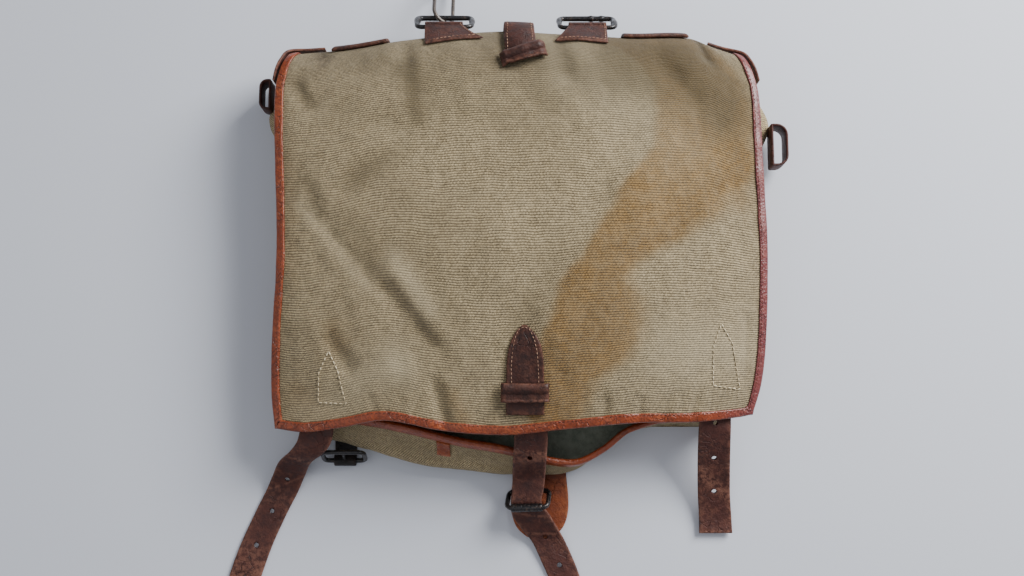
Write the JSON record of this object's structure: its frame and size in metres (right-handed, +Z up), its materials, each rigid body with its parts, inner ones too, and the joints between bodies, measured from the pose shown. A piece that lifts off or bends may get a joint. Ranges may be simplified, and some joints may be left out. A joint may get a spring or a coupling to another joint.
{
  "type": "haversack",
  "caption": "Slack canvas pack lying on its back: shallow tray body under one large leather-bound flap, closed by leather straps and buckles.",
  "frame": {"origin": "middle of the back panel's underside, which lies on the floor", "axes": "+X to the pack's right as seen from its front, +Y towards the top fold of the flap, +Z up from the back panel to the flap"},
  "size_m": [0.3844, 0.4431, 0.0648],
  "materials": {
    "dark_canvas": "rough worn canvas, greyer inside and on the body",
    "canvas": "rough worn olive khaki canvas",
    "binding_leather": "smooth red-brown leather, rubbed glossy",
    "strap_leather": "dark red-brown leather",
    "tongue_leather": "orange-brown leather",
    "tab_leather": "dark stained leather",
    "black_metal": "black japanned iron, worn",
    "grey_wire": "dull grey-brown wire"
  },
  "bodies": {
    "root": {"back_panel": "dark_canvas", "gusset": "dark_canvas", "mouth_binding": "binding_leather", "binding_tab": "binding_leather", "flap": "canvas", "flap_binding": "binding_leather", "front_tab": "tab_leather", "front_keeper": "tab_leather", "strap_left": "strap_leather", "strap_centre": "strap_leather", "strap_right": "strap_leather", "buckle_centre": "black_metal", "roller_centre": "black_metal", "prong_centre": "black_metal", "tongue_centre": "tongue_leather", "chape_centre": "tongue_leather", "buckle_left": "black_metal", "prong_left": "black_metal", "chape_left": "strap_leather", "top_loop_left": "black_metal", "top_loop_right": "black_metal", "top_chape_left": "tab_leather", "top_chape_right": "tab_leather", "wire_ring": "grey_wire", "top_strap": "strap_leather", "top_keeper": "tab_leather", "top_patch_left": "tab_leather", "top_patch_right": "tab_leather", "side_loop_left": "strap_leather", "side_loop_right": "strap_leather", "corner_strip_left": "strap_leather", "corner_strip_right": "strap_leather"}
  },
  "joints": []
}
